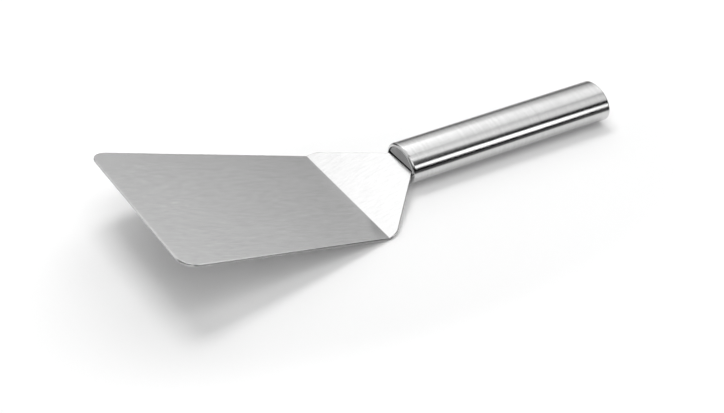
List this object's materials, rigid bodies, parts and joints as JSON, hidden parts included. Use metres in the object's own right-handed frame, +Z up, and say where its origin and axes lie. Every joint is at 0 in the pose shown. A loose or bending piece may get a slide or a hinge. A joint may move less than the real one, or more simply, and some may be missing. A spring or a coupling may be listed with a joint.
{
  "type": "plancha spatula",
  "caption": "Griddle spatula: wide flat steel blade with rounded tip corners, sharp bend and short tapering shoulder, whose tang is held in a closed straight oval tube handle.",
  "frame": {"origin": "centre of the bounding box in X and Y, on the ground that the bend and the tube lie on", "axes": "+X from the blade's tip to the handle's end, +Z up, the XZ plane is the plane of symmetry"},
  "size_m": [0.2964, 0.118, 0.0383],
  "materials": {
    "blade_steel": "fine satin grain along the blade",
    "tube_steel": "polished, nearly mirror bright",
    "plate_steel": "satin grain across the plate"
  },
  "bodies": {
    "root": {"blade": "blade_steel", "handle_tube": "tube_steel", "upper_front_plate": "plate_steel", "lower_front_plate": "plate_steel", "rear_plate": "plate_steel"}
  },
  "joints": []
}
